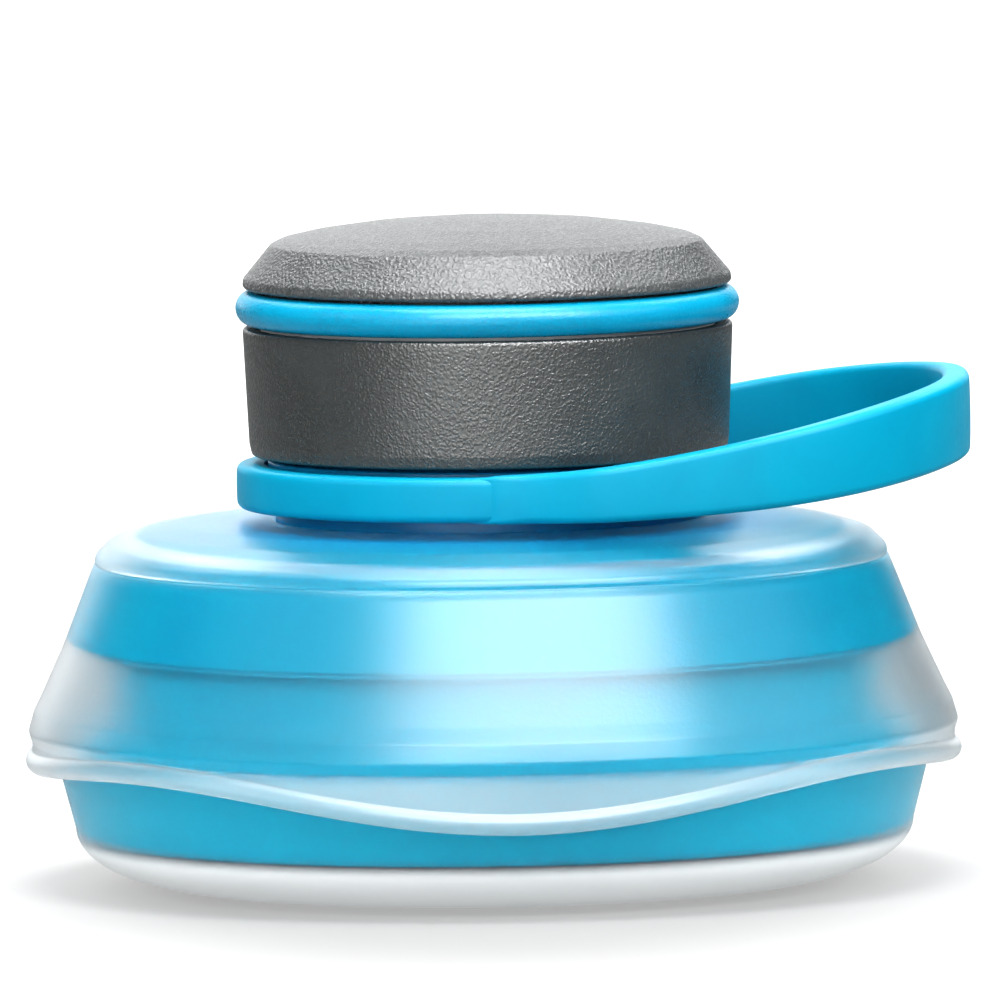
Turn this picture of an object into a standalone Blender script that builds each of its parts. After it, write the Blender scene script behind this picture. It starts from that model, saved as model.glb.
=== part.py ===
"""Folding (collapsible) water bottle, shown folded flat, with its screw cap on
and its carry loop swung out to one side.

Frame: +Z up, metres, origin at the centre of the flat foot of the base cup.
+X points to the side that the carry loop lies on.

Every turned piece is a profile given in millimetres as (radius, height) and
spun about Z.  A profile runs up its inner side and down its outer side.
"""
import math

import bmesh
import bpy
from mathutils import Vector

# ----------------------------------------------------------------- dimensions
MM = 0.001
GAP = 0.3                     # clearance kept between neighbouring pieces, mm
BODY_STEPS = 40               # facets round the body
CAP_STEPS = 40                # facets round the neck and cap

# base cup
FOOT_R = 28.5                 # flat foot
FOOT_ROUND_R = 40.3           # where the foot's rounding meets the wall
FOOT_ROUND_Z = 5.6
BASE_WALL_R = 41.5
BASE_WALL_Z = 10.2
BASE_RIM_R = 42.2
BASE_RIM_Z = 13.8
BASE_WALL_T = 1.6

# top shell: shoulder, cone and overhanging skirt
SHELL_T = 1.5
HOLE_R = 20.9                 # hole for the neck in the shoulder
SHOULDER_Z = 35.0             # shoulder height at the neck
CONE_TOP_R, CONE_TOP_Z = 38.0, 31.5
KINK_R, KINK_Z = 41.3, 23.0
SKIRT_R, SKIRT_Z = 44.7, 15.0
BEAD_R, BEAD_Z, BEAD_RAD = 43.95, 12.1, 1.05
# the beaded lip rises and falls round the skirt (drop below BEAD_Z, in mm)
WAVE_0, WAVE_2, WAVE_4, WAVE_PHASE = 0.30, -1.45, 1.10, math.radians(3.0)
WAVE_TOP_Z, WAVE_FULL_Z = 13.95, 13.1   # the crease above it stays level

# folded film sleeve
CUFF_T = 0.8                  # the film's welded, doubled ends
LOWER_CUFF_Z0, LOWER_CUFF_Z1 = 5.6, 13.3
UPPER_CUFF_Z0, UPPER_CUFF_Z1 = 23.0, 31.0
PACK_R0, PACK_R1 = 33.8, 36.8   # the stack of folds between the cuffs
PACK_Z0, PACK_Z1 = 4.0, 30.5

# neck with its external thread
NECK_BORE_R = 17.8
NECK_R = 19.8
NECK_TOP_Z = 52.6
COLLAR_R = 20.6               # plain collar that the handle ring turns on
STOP_R = 21.3                 # small flange that keeps the ring down
STOP_Z0, STOP_Z1 = 40.0, 40.8
WELD_FLANGE_R = 24.0          # flange under the shoulder
WELD_Z0, WELD_Z1 = 31.7, 32.9
PITCH = 4.0                   # thread pitch, right hand
THREAD_RAD = 0.75
THREAD_TURNS = 1.75
THREAD_Z0 = 43.6              # thread centre at angle 0

# handle ring and carry loop
RING_R0, RING_R1 = 20.95, 24.3
RING_Z0, RING_Z1 = 36.2, 40.5
LOOP_PIVOT_Z = 38.4
LOOP_Y = 26.2                 # centre of each arm from the bottle's axis
LOOP_Y0 = 25.5                # the same, where the arm leaves the ring
LOOP_T = 2.6                  # strap thickness
LOOP_X0 = 1.6                 # where the arms leave the ring
LOOP_X1 = 46.2                # outer end of the loop
LOOP_STRAIGHT = 22.0          # arms run straight to here
LOOP_H0, LOOP_H1 = 4.7, 7.9   # strap height at the ring and at the outer end
LOOP_RISE = 6.3               # the outer end lies this much above the ring
LOOP_BEND, LOOP_BEND_SIDE = 1.25, 0.45   # the near arm lies low and curves up
#                               late, and the far arm rises at once

# cap
CAP_Z0, CAP_R0 = 41.15, 23.0
CAP_Z1, CAP_R1 = 53.5, 23.55
LINER_R0, LINER_R1 = 20.95, 21.9
LINER_Z0, LINER_Z1 = 41.4, 55.5
DISC_R, CEILING_Z = 20.6, 54.25   # sealing disc that closes the cap
ACCENT_R, ACCENT_Z0, ACCENT_Z1 = 24.2, 53.8, 57.0
TOP_Z = 63.85

# ---------------------------------------------------------------- start clean
for old in list(bpy.data.objects):
    bpy.data.objects.remove(old, do_unlink=True)

bottle = bpy.data.collections.new("folding_bottle")
guides = bpy.data.collections.new("cutters_and_guides")
bpy.context.scene.collection.children.link(bottle)
bpy.context.scene.collection.children.link(guides)


def material(name, colour, roughness, metallic=0.0, alpha=1.0, transmission=0.0):
    mat = bpy.data.materials.new(name)
    mat.use_nodes = True
    shader = mat.node_tree.nodes["Principled BSDF"]
    shader.inputs["Base Color"].default_value = (*colour, 1.0)
    shader.inputs["Roughness"].default_value = roughness
    shader.inputs["Metallic"].default_value = metallic
    shader.inputs["Alpha"].default_value = alpha
    shader.inputs["Transmission Weight"].default_value = transmission
    return mat


def empty(name, location=(0, 0, 0), parent=None):
    obj = bpy.data.objects.new(name, None)
    obj.empty_display_size = 0.01
    guides.objects.link(obj)
    obj.location = location
    obj.parent = parent
    return obj


def finish(obj, mat, parent, smooth_deg=35.0):
    obj.data.materials.clear()
    obj.data.materials.append(mat)
    obj.data.shade_smooth()
    obj.data.set_sharp_from_angle(angle=math.radians(smooth_deg))
    bottle.objects.link(obj)
    # keep the piece where it is while it hangs on its frame
    obj.parent = parent
    if parent is not None:
        offset = Vector((0, 0, 0))
        up = parent
        while up is not None:
            offset += up.location
            up = up.parent
        obj.location = Vector(obj.location) - offset
    return obj


def turned(name, profile, steps, closed=True):
    """A profile of (radius, height) in mm, spun once about Z by a Screw."""
    mesh = bpy.data.meshes.new(name)
    verts = [(r * MM, 0.0, z * MM) for r, z in profile]
    edges = [(i, i + 1) for i in range(len(verts) - 1)]
    if closed:
        edges.append((len(verts) - 1, 0))
    mesh.from_pydata(verts, edges, [])
    obj = bpy.data.objects.new(name, mesh)
    screw = obj.modifiers.new("spin", 'SCREW')
    screw.axis = 'Z'
    screw.angle = 2 * math.pi
    screw.steps = steps
    screw.render_steps = steps
    screw.use_merge_vertices = True
    screw.merge_threshold = 0.00002
    screw.use_normal_calculate = False
    return obj


def realised(obj):
    """The object's evaluated mesh as a plain mesh object of the same name."""
    guides.objects.link(obj)
    bpy.context.view_layer.update()
    graph = bpy.context.evaluated_depsgraph_get()
    mesh = bpy.data.meshes.new_from_object(obj.evaluated_get(graph))
    name = obj.name
    matrix = obj.matrix_world.copy()
    bpy.data.objects.remove(obj, do_unlink=True)
    mesh.name = name
    made = bpy.data.objects.new(name, mesh)
    made.matrix_world = matrix
    return made


def clean(obj, distance=0.000005):
    bm = bmesh.new()
    bm.from_mesh(obj.data)
    bmesh.ops.remove_doubles(bm, verts=bm.verts, dist=distance)
    bmesh.ops.recalc_face_normals(bm, faces=bm.faces)
    bm.to_mesh(obj.data)
    bm.free()
    return obj


def arc(cx, cz, rx, rz, a0, a1, count):
    """Points on an ellipse from angle a0 to a1 in degrees, ends included."""
    out = []
    for i in range(count + 1):
        a = math.radians(a0 + (a1 - a0) * i / count)
        out.append((cx + rx * math.cos(a), cz + rz * math.sin(a)))
    return out


def thread(name, radius, z_start, phase, turns, wire):
    """A round thread ridge: a helix with a bevelled section, tapered out."""
    per_turn = 24
    count = int(round(turns * per_turn))
    curve = bpy.data.curves.new(name, 'CURVE')
    curve.dimensions = '3D'
    curve.bevel_depth = wire * MM
    curve.bevel_resolution = 1
    curve.use_fill_caps = True
    spline = curve.splines.new('POLY')
    spline.points.add(count)
    for i in range(count + 1):
        angle = phase + 2 * math.pi * i / per_turn
        z = z_start + PITCH * (angle / (2 * math.pi))
        taper = min(1.0, 0.35 + 0.65 * min(i, count - i) / 4.0)
        spline.points[i].co = (radius * MM * math.cos(angle), radius * MM * math.sin(angle), z * MM, 1.0)
        spline.points[i].radius = taper
    made = clean(realised(bpy.data.objects.new(name, curve)))
    guides.objects.link(made)
    made.hide_render = True
    made.display_type = 'WIRE'
    return made


def join_in(obj, other):
    boolean = obj.modifiers.new("join_" + other.name, 'BOOLEAN')
    boolean.operation = 'UNION'
    boolean.solver = 'EXACT'
    boolean.object = other


# ------------------------------------------------------------------- materials
frosted_base = material("frosted_base", (0.80, 0.86, 0.88), 0.35, transmission=0.6)
frosted_shell = material("frosted_shell", (0.82, 0.88, 0.90), 0.38, transmission=0.6)
film = material("blue_film", (0.02, 0.50, 0.72), 0.30, transmission=0.3)
film_lower = material("blue_film_lower", (0.02, 0.50, 0.72), 0.30, transmission=0.3)
film_upper = material("blue_film_upper", (0.02, 0.50, 0.72), 0.30, transmission=0.3)
neck_plastic = material("neck_plastic", (0.55, 0.66, 0.70), 0.35, transmission=0.3)
strap_ring = material("strap_ring_elastomer", (0.0, 0.40, 0.66), 0.45)
strap_loop = material("strap_loop_elastomer", (0.0, 0.40, 0.66), 0.45)
cap_grey = material("cap_grain_grey", (0.11, 0.13, 0.14), 0.55)
cap_top_grey = material("cap_top_grain_grey", (0.20, 0.21, 0.22), 0.50)
cap_liner = material("cap_liner_plastic", (0.60, 0.62, 0.63), 0.40)
cap_disc = material("cap_sealing_disc_plastic", (0.62, 0.64, 0.65), 0.40)
cap_accent = material("cap_accent_elastomer", (0.0, 0.40, 0.66), 0.40)
silicone = material("gasket_silicone", (0.75, 0.77, 0.78), 0.60)

# ------------------------------------------------------- frames of moving sets
base_frame = empty("base_frame")
top_frame = empty("top_frame", (0, 0, KINK_Z * MM), base_frame)
swivel_frame = empty("swivel_frame", (0, 0, (LOOP_PIVOT_Z - KINK_Z) * MM), top_frame)
cap_frame = empty("cap_frame", (0, 0, (CAP_Z0 - KINK_Z) * MM), top_frame)

# -------------------------------------------------------------------- base cup
foot = arc(FOOT_R, FOOT_ROUND_Z, FOOT_ROUND_R - FOOT_R, FOOT_ROUND_Z, 0, -90, 5)
inner_foot = arc(FOOT_R, FOOT_ROUND_Z, FOOT_ROUND_R - FOOT_R - BASE_WALL_T,
                 FOOT_ROUND_Z - BASE_WALL_T, -90, 0, 5)
base_profile = (
    [(0.0, BASE_WALL_T)] + inner_foot
    + [(BASE_WALL_R - BASE_WALL_T, BASE_WALL_Z), (BASE_RIM_R - BASE_WALL_T, BASE_RIM_Z - 0.3),
       (BASE_RIM_R - BASE_WALL_T + 0.35, BASE_RIM_Z), (BASE_RIM_R - 0.35, BASE_RIM_Z),
       (BASE_RIM_R, BASE_RIM_Z - 0.4), (BASE_WALL_R, BASE_WALL_Z)]
    + foot + [(0.0, 0.0)]
)
base_cup = clean(realised(turned("base_cup", base_profile, BODY_STEPS, closed=False)))
finish(base_cup, frosted_base, base_frame)


# ------------------------------------------------------------ film: lower cuff
def along(z, points):
    """Radius at a height on a polyline of (radius, height) going up."""
    for (r0, z0), (r1, z1) in zip(points, points[1:]):
        if z0 <= z <= z1:
            return r0 + (r1 - r0) * (z - z0) / (z1 - z0)
    return points[-1][0] if z > points[-1][1] else points[0][0]


cup_inside = [(FOOT_ROUND_R - BASE_WALL_T, FOOT_ROUND_Z), (BASE_WALL_R - BASE_WALL_T, BASE_WALL_Z),
              (BASE_RIM_R - BASE_WALL_T, BASE_RIM_Z - 0.3)]
levels = [LOWER_CUFF_Z0, BASE_WALL_Z, LOWER_CUFF_Z1]
outer = [(along(z, cup_inside) - GAP, z) for z in levels]
inner = [(r - CUFF_T, z) for r, z in outer]
lower_cuff = clean(realised(turned("sleeve_lower_cuff", inner + outer[::-1], BODY_STEPS)))
finish(lower_cuff, film_lower, base_frame)

# -------------------------------------------------------- film: folded stack
pack_profile = [
    (PACK_R0, PACK_Z0 + 0.6), (PACK_R0, PACK_Z1 - 0.6), (PACK_R0 + 0.6, PACK_Z1),
    (PACK_R1 - 0.6, PACK_Z1), (PACK_R1, PACK_Z1 - 0.6), (PACK_R1, PACK_Z0 + 0.6),
    (PACK_R1 - 0.6, PACK_Z0), (PACK_R0 + 0.6, PACK_Z0),
]
# the cone's inside narrows towards the shoulder, so the stack follows it
pack_profile = [(r - max(0.0, (z - 26.0)) * 0.39, z) for r, z in pack_profile]
film_sleeve = clean(realised(turned("film_sleeve", pack_profile, BODY_STEPS)))
finish(film_sleeve, film, base_frame)

# ------------------------------------------------------------------- top shell
shell_outer = [
    (HOLE_R, SHOULDER_Z), (29.0, 34.72), (33.6, 34.1), (35.3, 33.75), (36.5, 33.25),
    (37.4, 32.5), (CONE_TOP_R, CONE_TOP_Z), (KINK_R, KINK_Z), (43.4, 18.4), (44.1, 16.9),
    (SKIRT_R, SKIRT_Z), (44.35, 14.0),
]
bead = arc(BEAD_R, BEAD_Z, BEAD_RAD, BEAD_RAD, 65, -245, 8)
shell_inner = [
    (SKIRT_R - SHELL_T - 0.1, 14.0), (SKIRT_R - SHELL_T + 0.0, SKIRT_Z), (42.55, 16.7),
    (41.9, 18.1), (KINK_R - SHELL_T - 0.1, KINK_Z - 0.5), (CONE_TOP_R - SHELL_T - 0.15, CONE_TOP_Z - 0.4),
    (35.2, 32.1), (33.2, 32.5), (29.0, 33.15), (HOLE_R, 33.4),
]
top_shell = clean(realised(turned("top_shell", (shell_outer + bead + shell_inner)[::1], BODY_STEPS)))
for v in top_shell.data.vertices:
    z = v.co.z / MM
    if z < WAVE_TOP_Z:
        t = min(1.0, (WAVE_TOP_Z - z) / (WAVE_TOP_Z - WAVE_FULL_Z))
        t = t * t * (3 - 2 * t)
        a = math.atan2(v.co.y, v.co.x) - WAVE_PHASE
        drop = WAVE_0 + WAVE_2 * math.cos(2 * a) + WAVE_4 * math.cos(4 * a)
        v.co.z -= drop * t * MM
finish(top_shell, frosted_shell, top_frame)

# ------------------------------------------------------------ film: upper cuff
cone_inside = [(KINK_R - SHELL_T - 0.1, KINK_Z - 0.5), (CONE_TOP_R - SHELL_T - 0.15, CONE_TOP_Z - 0.4)]
outer = [(along(z, cone_inside) - GAP, z) for z in (UPPER_CUFF_Z0, UPPER_CUFF_Z1)]
inner = [(r - CUFF_T, z) for r, z in outer]
upper_cuff = clean(realised(turned("sleeve_upper_cuff", inner + outer[::-1], BODY_STEPS)))
finish(upper_cuff, film_upper, top_frame)

# ------------------------------------------------------------------------ neck
neck_profile = [
    (NECK_BORE_R, WELD_Z0), (NECK_BORE_R, NECK_TOP_Z - 0.4), (NECK_BORE_R + 0.4, NECK_TOP_Z),
    (NECK_R - 0.5, NECK_TOP_Z), (NECK_R, NECK_TOP_Z - 0.5), (NECK_R, STOP_Z1 + 0.5),
    (STOP_R - 0.3, STOP_Z1), (STOP_R, STOP_Z1 - 0.2), (STOP_R, STOP_Z0), (COLLAR_R, STOP_Z0),
    (COLLAR_R, WELD_Z1), (WELD_FLANGE_R, WELD_Z1), (WELD_FLANGE_R, WELD_Z0),
]
neck = clean(realised(turned("threaded_neck", neck_profile, CAP_STEPS)))
join_in(neck, thread("neck_thread_ridge", NECK_R + 0.05, THREAD_Z0, 0.0, THREAD_TURNS, THREAD_RAD))
finish(neck, neck_plastic, top_frame)

# ----------------------------------------------------------------- handle ring
ring_profile = [
    (RING_R0, RING_Z0 + 0.3), (RING_R0, 39.65), (STOP_R + 0.35, 39.65), (STOP_R + 0.35, RING_Z1 - 0.1),
    (RING_R1 - 0.9, RING_Z1), (RING_R1 - 0.25, RING_Z1 - 0.3), (RING_R1, RING_Z1 - 1.0),
    (RING_R1, RING_Z0 + 1.0), (RING_R1 - 0.25, RING_Z0 + 0.3), (RING_R1 - 0.9, RING_Z0),
    (RING_R0 + 0.3, RING_Z0),
]
handle_ring = clean(realised(turned("handle_ring", ring_profile, CAP_STEPS)))
finish(handle_ring, strap_ring, swivel_frame)

# ------------------------------------------------------------------ carry loop
# The strap's centre line in plan: out along one arm, round the end, back along
# the other.  Its section is a tall thin rectangle with eased corners, and it
# grows taller towards the outer end, so it is a loft along that line.


def ease(t):
    t = min(1.0, max(0.0, t))
    return t * t * (3 - 2 * t)


def arm_y(x):
    return LOOP_Y0 + (LOOP_Y - LOOP_Y0) * ease((x - LOOP_X0) / 10.0)


def loop_plan(count_arm=7, count_end=20):
    half_end = LOOP_X1 - LOOP_T / 2 - LOOP_STRAIGHT
    points = []
    for i in range(count_arm):
        x = LOOP_X0 + (LOOP_STRAIGHT - LOOP_X0) * i / count_arm
        points.append((x, -arm_y(x), 0.0, -1.0))
    power = 2.4            # a slightly squared-off end
    for i in range(count_end + 1):
        a = -math.pi / 2 + math.pi * i / count_end
        c, s = math.cos(a), math.sin(a)
        x = LOOP_STRAIGHT + half_end * math.copysign(abs(c) ** (2 / power), c)
        y = LOOP_Y * math.copysign(abs(s) ** (2 / power), s)
        nx = math.copysign(abs(c) ** (2 - 2 / power), c) / half_end
        ny = math.copysign(abs(s) ** (2 - 2 / power), s) / LOOP_Y
        n = math.hypot(nx, ny)
        points.append((x, y, nx / n, ny / n))
    for i in range(count_arm - 1, -1, -1):
        x = LOOP_X0 + (LOOP_STRAIGHT - LOOP_X0) * i / count_arm
        points.append((x, arm_y(x), 0.0, 1.0))
    return points


def loop_sections():
    out = []
    for x, y, nx, ny in loop_plan():
        height = LOOP_H0 + (LOOP_H1 - LOOP_H0) * ease(x / 42.0)
        bend = LOOP_BEND - LOOP_BEND_SIDE * y / LOOP_Y
        mid = LOOP_PIVOT_Z + LOOP_RISE * (x / LOOP_X1) ** bend
        # where an arm passes the ring it is pared back to clear it
        inner = LOOP_T / 2
        if nx == 0.0 and x < 9.0:
            clear = (RING_R1 + GAP + 0.1) ** 2 - x * x
            inner = min(inner, abs(y) - math.sqrt(max(0.0, clear)))
        a, b, e = LOOP_T / 2, height / 2, 0.55
        section = [(a, -b + e), (a, b - e), (a - e, b), (-inner + e, b), (-inner, b - e),
                   (-inner, -b + e), (-inner + e, -b), (a - e, -b)]
        out.append([Vector(((x + nx * u) * MM, (y + ny * u) * MM, (mid + w - LOOP_PIVOT_Z) * MM))
                    for u, w in section])
    return out


bm = bmesh.new()
rings = [[bm.verts.new(p) for p in section] for section in loop_sections()]
for ring_a, ring_b in zip(rings, rings[1:]):
    n = len(ring_a)
    for i in range(n):
        bm.faces.new((ring_a[i], ring_a[(i + 1) % n], ring_b[(i + 1) % n], ring_b[i]))
bm.faces.new(rings[0][::-1])
bm.faces.new(rings[-1])
bmesh.ops.recalc_face_normals(bm, faces=bm.faces)
loop_mesh = bpy.data.meshes.new("carry_loop")
bm.to_mesh(loop_mesh)
bm.free()
carry_loop = bpy.data.objects.new("carry_loop", loop_mesh)
carry_loop.location = (0, 0, LOOP_PIVOT_Z * MM)
finish(carry_loop, strap_loop, swivel_frame)

# ------------------------------------------------------------------------- cap
skirt_profile = [
    (22.2, CAP_Z0 + 0.3), (22.2, CAP_Z1), (CAP_R1 - 0.4, CAP_Z1), (CAP_R1, CAP_Z1 - 0.4),
    (CAP_R0 + 0.05, CAP_Z0 + 1.0), (CAP_R0 - 0.35, CAP_Z0 + 0.25), (CAP_R0 - 0.7, CAP_Z0),
]
cap_skirt = clean(realised(turned("cap_outer_skirt", skirt_profile, CAP_STEPS)))
finish(cap_skirt, cap_grey, cap_frame)

liner_profile = [
    (LINER_R0, LINER_Z0), (LINER_R0, LINER_Z1), (LINER_R1 - 0.3, LINER_Z1),
    (LINER_R1, LINER_Z1 - 0.3), (LINER_R1, LINER_Z0),
]
cap_liner_obj = clean(realised(turned("cap_threaded_liner", liner_profile, CAP_STEPS)))
join_in(cap_liner_obj, thread("liner_thread_ridge", LINER_R0 - 0.05, THREAD_Z0 - PITCH / 2,
                              math.radians(75.0), THREAD_TURNS, THREAD_RAD))
finish(cap_liner_obj, cap_liner, cap_frame)

disc_profile = [
    (0.0, LINER_Z1), (DISC_R - 0.3, LINER_Z1), (DISC_R, LINER_Z1 - 0.3), (DISC_R, CEILING_Z), (0.0, CEILING_Z),
]
disc = clean(realised(turned("cap_sealing_disc", disc_profile, CAP_STEPS, closed=False)))
finish(disc, cap_disc, cap_frame)

accent_profile = (
    [(22.2, ACCENT_Z0 + 0.2), (22.2, ACCENT_Z1 - 0.2), (22.4, ACCENT_Z1), (23.1, ACCENT_Z1)]
    + arc(ACCENT_R - 0.9, (ACCENT_Z0 + ACCENT_Z1) / 2, 0.9, (ACCENT_Z1 - ACCENT_Z0) / 2, 60, -60, 6)
    + [(23.1, ACCENT_Z0), (22.4, ACCENT_Z0)]
)
accent = clean(realised(turned("cap_accent_ring", accent_profile, CAP_STEPS)))
finish(accent, cap_accent, cap_frame)

dome_outer = [(0.0, TOP_Z), (6.0, 63.72), (12.0, 63.25), (17.0, 62.55), (19.6, 61.95), (20.85, 61.4),
              (23.45, 58.0), (23.5, 57.6), (23.3, 57.3)]
dome_inner = [(21.9, 57.3), (21.9, 55.8), (20.5, 55.8), (20.5, 58.9), (18.6, 60.3), (12.0, 61.5), (0.0, 62.0)]
cap_top = clean(realised(turned("cap_domed_top", dome_outer + dome_inner, CAP_STEPS, closed=False)))
finish(cap_top, cap_top_grey, cap_frame)

gasket_profile = [
    (17.65, 53.1), (17.65, 53.85), (17.75, 53.95), (20.4, 53.95), (20.55, 53.8), (20.55, 53.15), (20.4, 53.0),
    (17.75, 53.0),
]
gasket = clean(realised(turned("cap_gasket", gasket_profile, CAP_STEPS)))
finish(gasket, silicone, cap_frame)
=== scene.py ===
"""Looks of the folding water bottle.

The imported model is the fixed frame.  Every piece here is made at the place of
the CAD node that it stands for, in metres, +Z up, with finely turned and
rounded surfaces, and rides on that node's body.
"""

import math

import bmesh
import bpy
import numpy as np
from mathutils import Matrix, Vector


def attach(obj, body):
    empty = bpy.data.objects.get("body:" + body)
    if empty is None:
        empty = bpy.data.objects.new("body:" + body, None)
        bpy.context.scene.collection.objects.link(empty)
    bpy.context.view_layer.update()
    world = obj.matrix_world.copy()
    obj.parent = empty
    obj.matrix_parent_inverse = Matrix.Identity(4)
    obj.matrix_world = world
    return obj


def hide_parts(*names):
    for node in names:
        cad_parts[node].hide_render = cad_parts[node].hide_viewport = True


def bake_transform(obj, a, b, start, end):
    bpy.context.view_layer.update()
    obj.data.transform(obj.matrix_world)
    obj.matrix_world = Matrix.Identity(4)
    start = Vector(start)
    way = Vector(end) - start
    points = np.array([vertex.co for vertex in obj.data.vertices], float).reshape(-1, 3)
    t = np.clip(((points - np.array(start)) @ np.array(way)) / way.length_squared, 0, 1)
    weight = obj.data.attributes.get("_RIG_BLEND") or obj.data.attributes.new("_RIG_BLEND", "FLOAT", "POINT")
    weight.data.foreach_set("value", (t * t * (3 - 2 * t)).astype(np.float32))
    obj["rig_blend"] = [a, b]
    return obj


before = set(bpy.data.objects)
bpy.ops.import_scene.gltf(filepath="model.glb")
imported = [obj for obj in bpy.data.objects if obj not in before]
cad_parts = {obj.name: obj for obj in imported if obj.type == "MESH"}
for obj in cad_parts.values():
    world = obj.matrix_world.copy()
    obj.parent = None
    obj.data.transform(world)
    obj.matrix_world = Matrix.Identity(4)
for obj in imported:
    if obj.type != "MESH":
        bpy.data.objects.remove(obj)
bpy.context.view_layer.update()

MM = 0.001
TAU = 2.0 * math.pi
STEPS = 176                      # facets round the large turned pieces

scene = bpy.context.scene
pieces = bpy.data.collections.new("looks")
scene.collection.children.link(pieces)

# ================================================================ camera
# A long lens a little above the table.
LENS, DISTANCE, ELEVATION, ROLL = 899.0, 2.4, math.radians(4.6), math.radians(0.85)
TARGET = Vector((0.95 * MM, 0.0, 36.5 * MM))

cam_data = bpy.data.cameras.new("photo_camera")
cam_data.lens = LENS
cam_data.sensor_width = 36.0
cam_data.clip_start = 0.05
cam_data.clip_end = 40.0
cam = bpy.data.objects.new("photo_camera", cam_data)
scene.collection.objects.link(cam)
cam.location = TARGET + DISTANCE * Vector((0.0, -math.cos(ELEVATION), math.sin(ELEVATION)))
look = (TARGET - cam.location).to_track_quat('-Z', 'Y').to_matrix().to_4x4()
cam.matrix_world = Matrix.Translation(cam.location) @ look @ Matrix.Rotation(-ROLL, 4, 'Z')
scene.camera = cam
scene.view_settings.view_transform = 'Standard'
scene.view_settings.look = 'Medium High Contrast'


# ================================================================ lights
def softbox(name, azimuth, elevation, distance, width, height, radiance, colour=(1, 1, 1)):
    """A rectangular lamp that faces the bottle.  Azimuth 0 is the camera's side, + is to the right."""
    data = bpy.data.lights.new(name, 'AREA')
    data.shape = 'RECTANGLE'
    data.size, data.size_y = width, height
    data.energy = radiance * width * height * math.pi
    data.color = colour
    lamp = bpy.data.objects.new(name, data)
    scene.collection.objects.link(lamp)
    az, el = math.radians(azimuth), math.radians(elevation)
    centre = Vector((0, 0, 0.035))
    lamp.location = centre + distance * Vector((math.sin(az) * math.cos(el), -math.cos(az) * math.cos(el), math.sin(el)))
    lamp.rotation_euler = (centre - lamp.location).to_track_quat('-Z', 'Y').to_euler()
    lamp.visible_camera = False
    return lamp


key = softbox("key_softbox", 13.0, 38.0, 2.0, 2.6, 0.85, 2.8)
key.visible_transmission = False
# a flagged strip in the same place, for the soft gloss on the plastic only
shine = softbox("shine_softbox", 13.0, 38.0, 1.99, 2.6, 0.85, 13.0)
shine.visible_diffuse = False
shine.visible_transmission = False
# side fills that leave no gloss
for fill in (softbox("fill_left_softbox", -66.0, 25.0, 2.0, 1.2, 0.9, 6.2),
             softbox("fill_right_softbox", 80.0, 25.0, 2.0, 1.2, 0.9, 7.8)):
    fill.visible_glossy = False
softbox("low_left_softbox", -19.0, 7.0, 2.0, 1.55, 0.45, 4.0)
softbox("low_right_softbox", 30.0, 13.0, 2.0, 1.2, 0.40, 3.0)
top = softbox("top_softbox", 0.0, 75.0, 1.0, 0.46, 0.46, 18.0)
top.visible_transmission = False
top.visible_glossy = False
top_shine = softbox("top_shine_softbox", 0.0, 76.0, 1.2, 1.15, 0.42, 13.0)
top_shine.visible_diffuse = False
top_shine.visible_transmission = False
softbox("back_softbox", 180.0, 38.0, 1.5, 1.7, 0.50, 2.2)
softbox("back_left_softbox", -135.0, 50.0, 1.3, 0.6, 0.6, 4.0)
softbox("back_right_softbox", 135.0, 50.0, 1.3, 0.6, 0.6, 4.0)
# a glowing table top in front and to the left
table = softbox("table_glow", 0.0, 0.0, 1.0, 0.52, 0.70, 4.0)
table.location = (-0.14, -0.62, 0.001)
table.rotation_euler = (math.pi, 0.0, 0.0)

world = bpy.data.worlds.new("studio")
scene.world = world
world.use_nodes = True
wn = world.node_tree
wn.nodes.clear()


def wnode(kind, **sockets):
    node = wn.nodes.new(kind)
    for key, value in sockets.items():
        setattr(node, key, value)
    return node


w_coord = wnode("ShaderNodeTexCoord")


def wtoward(direction):
    """How much a direction of the world points at a fixed one."""
    node = wnode("ShaderNodeVectorMath", operation='DOT_PRODUCT')
    wn.links.new(w_coord.outputs["Generated"], node.inputs[0])
    node.inputs[1].default_value = Vector(direction).normalized()
    return node.outputs["Value"]


def wramp(source, low, high):
    """0 below low, 1 above high, smooth between."""
    node = wnode("ShaderNodeMapRange", interpolation_type='SMOOTHSTEP')
    wn.links.new(source, node.inputs["Value"])
    node.inputs["From Min"].default_value = low
    node.inputs["From Max"].default_value = high
    return node.outputs["Result"]


w_back = wramp(wtoward((-0.14, 0.98, 0.10)), 0.84, 0.95)      # a white wall behind
w_top = wramp(wtoward((0.0, 0.0, 1.0)), 0.80, 0.95)           # a white ceiling
w_max = wnode("ShaderNodeMath", operation='MAXIMUM')
wn.links.new(w_back, w_max.inputs[0])
wn.links.new(w_top, w_max.inputs[1])
w_mix = wnode("ShaderNodeMix", data_type='RGBA')
wn.links.new(w_max.outputs[0], w_mix.inputs["Factor"])
w_mix.inputs[6].default_value = (0.035, 0.04, 0.045, 1)
w_mix.inputs[7].default_value = (1.18, 1.19, 1.20, 1)
w_bg = wnode("ShaderNodeBackground")
wn.links.new(w_mix.outputs[2], w_bg.inputs["Color"])
w_out = wnode("ShaderNodeOutputWorld")
wn.links.new(w_bg.outputs[0], w_out.inputs["Surface"])


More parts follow.
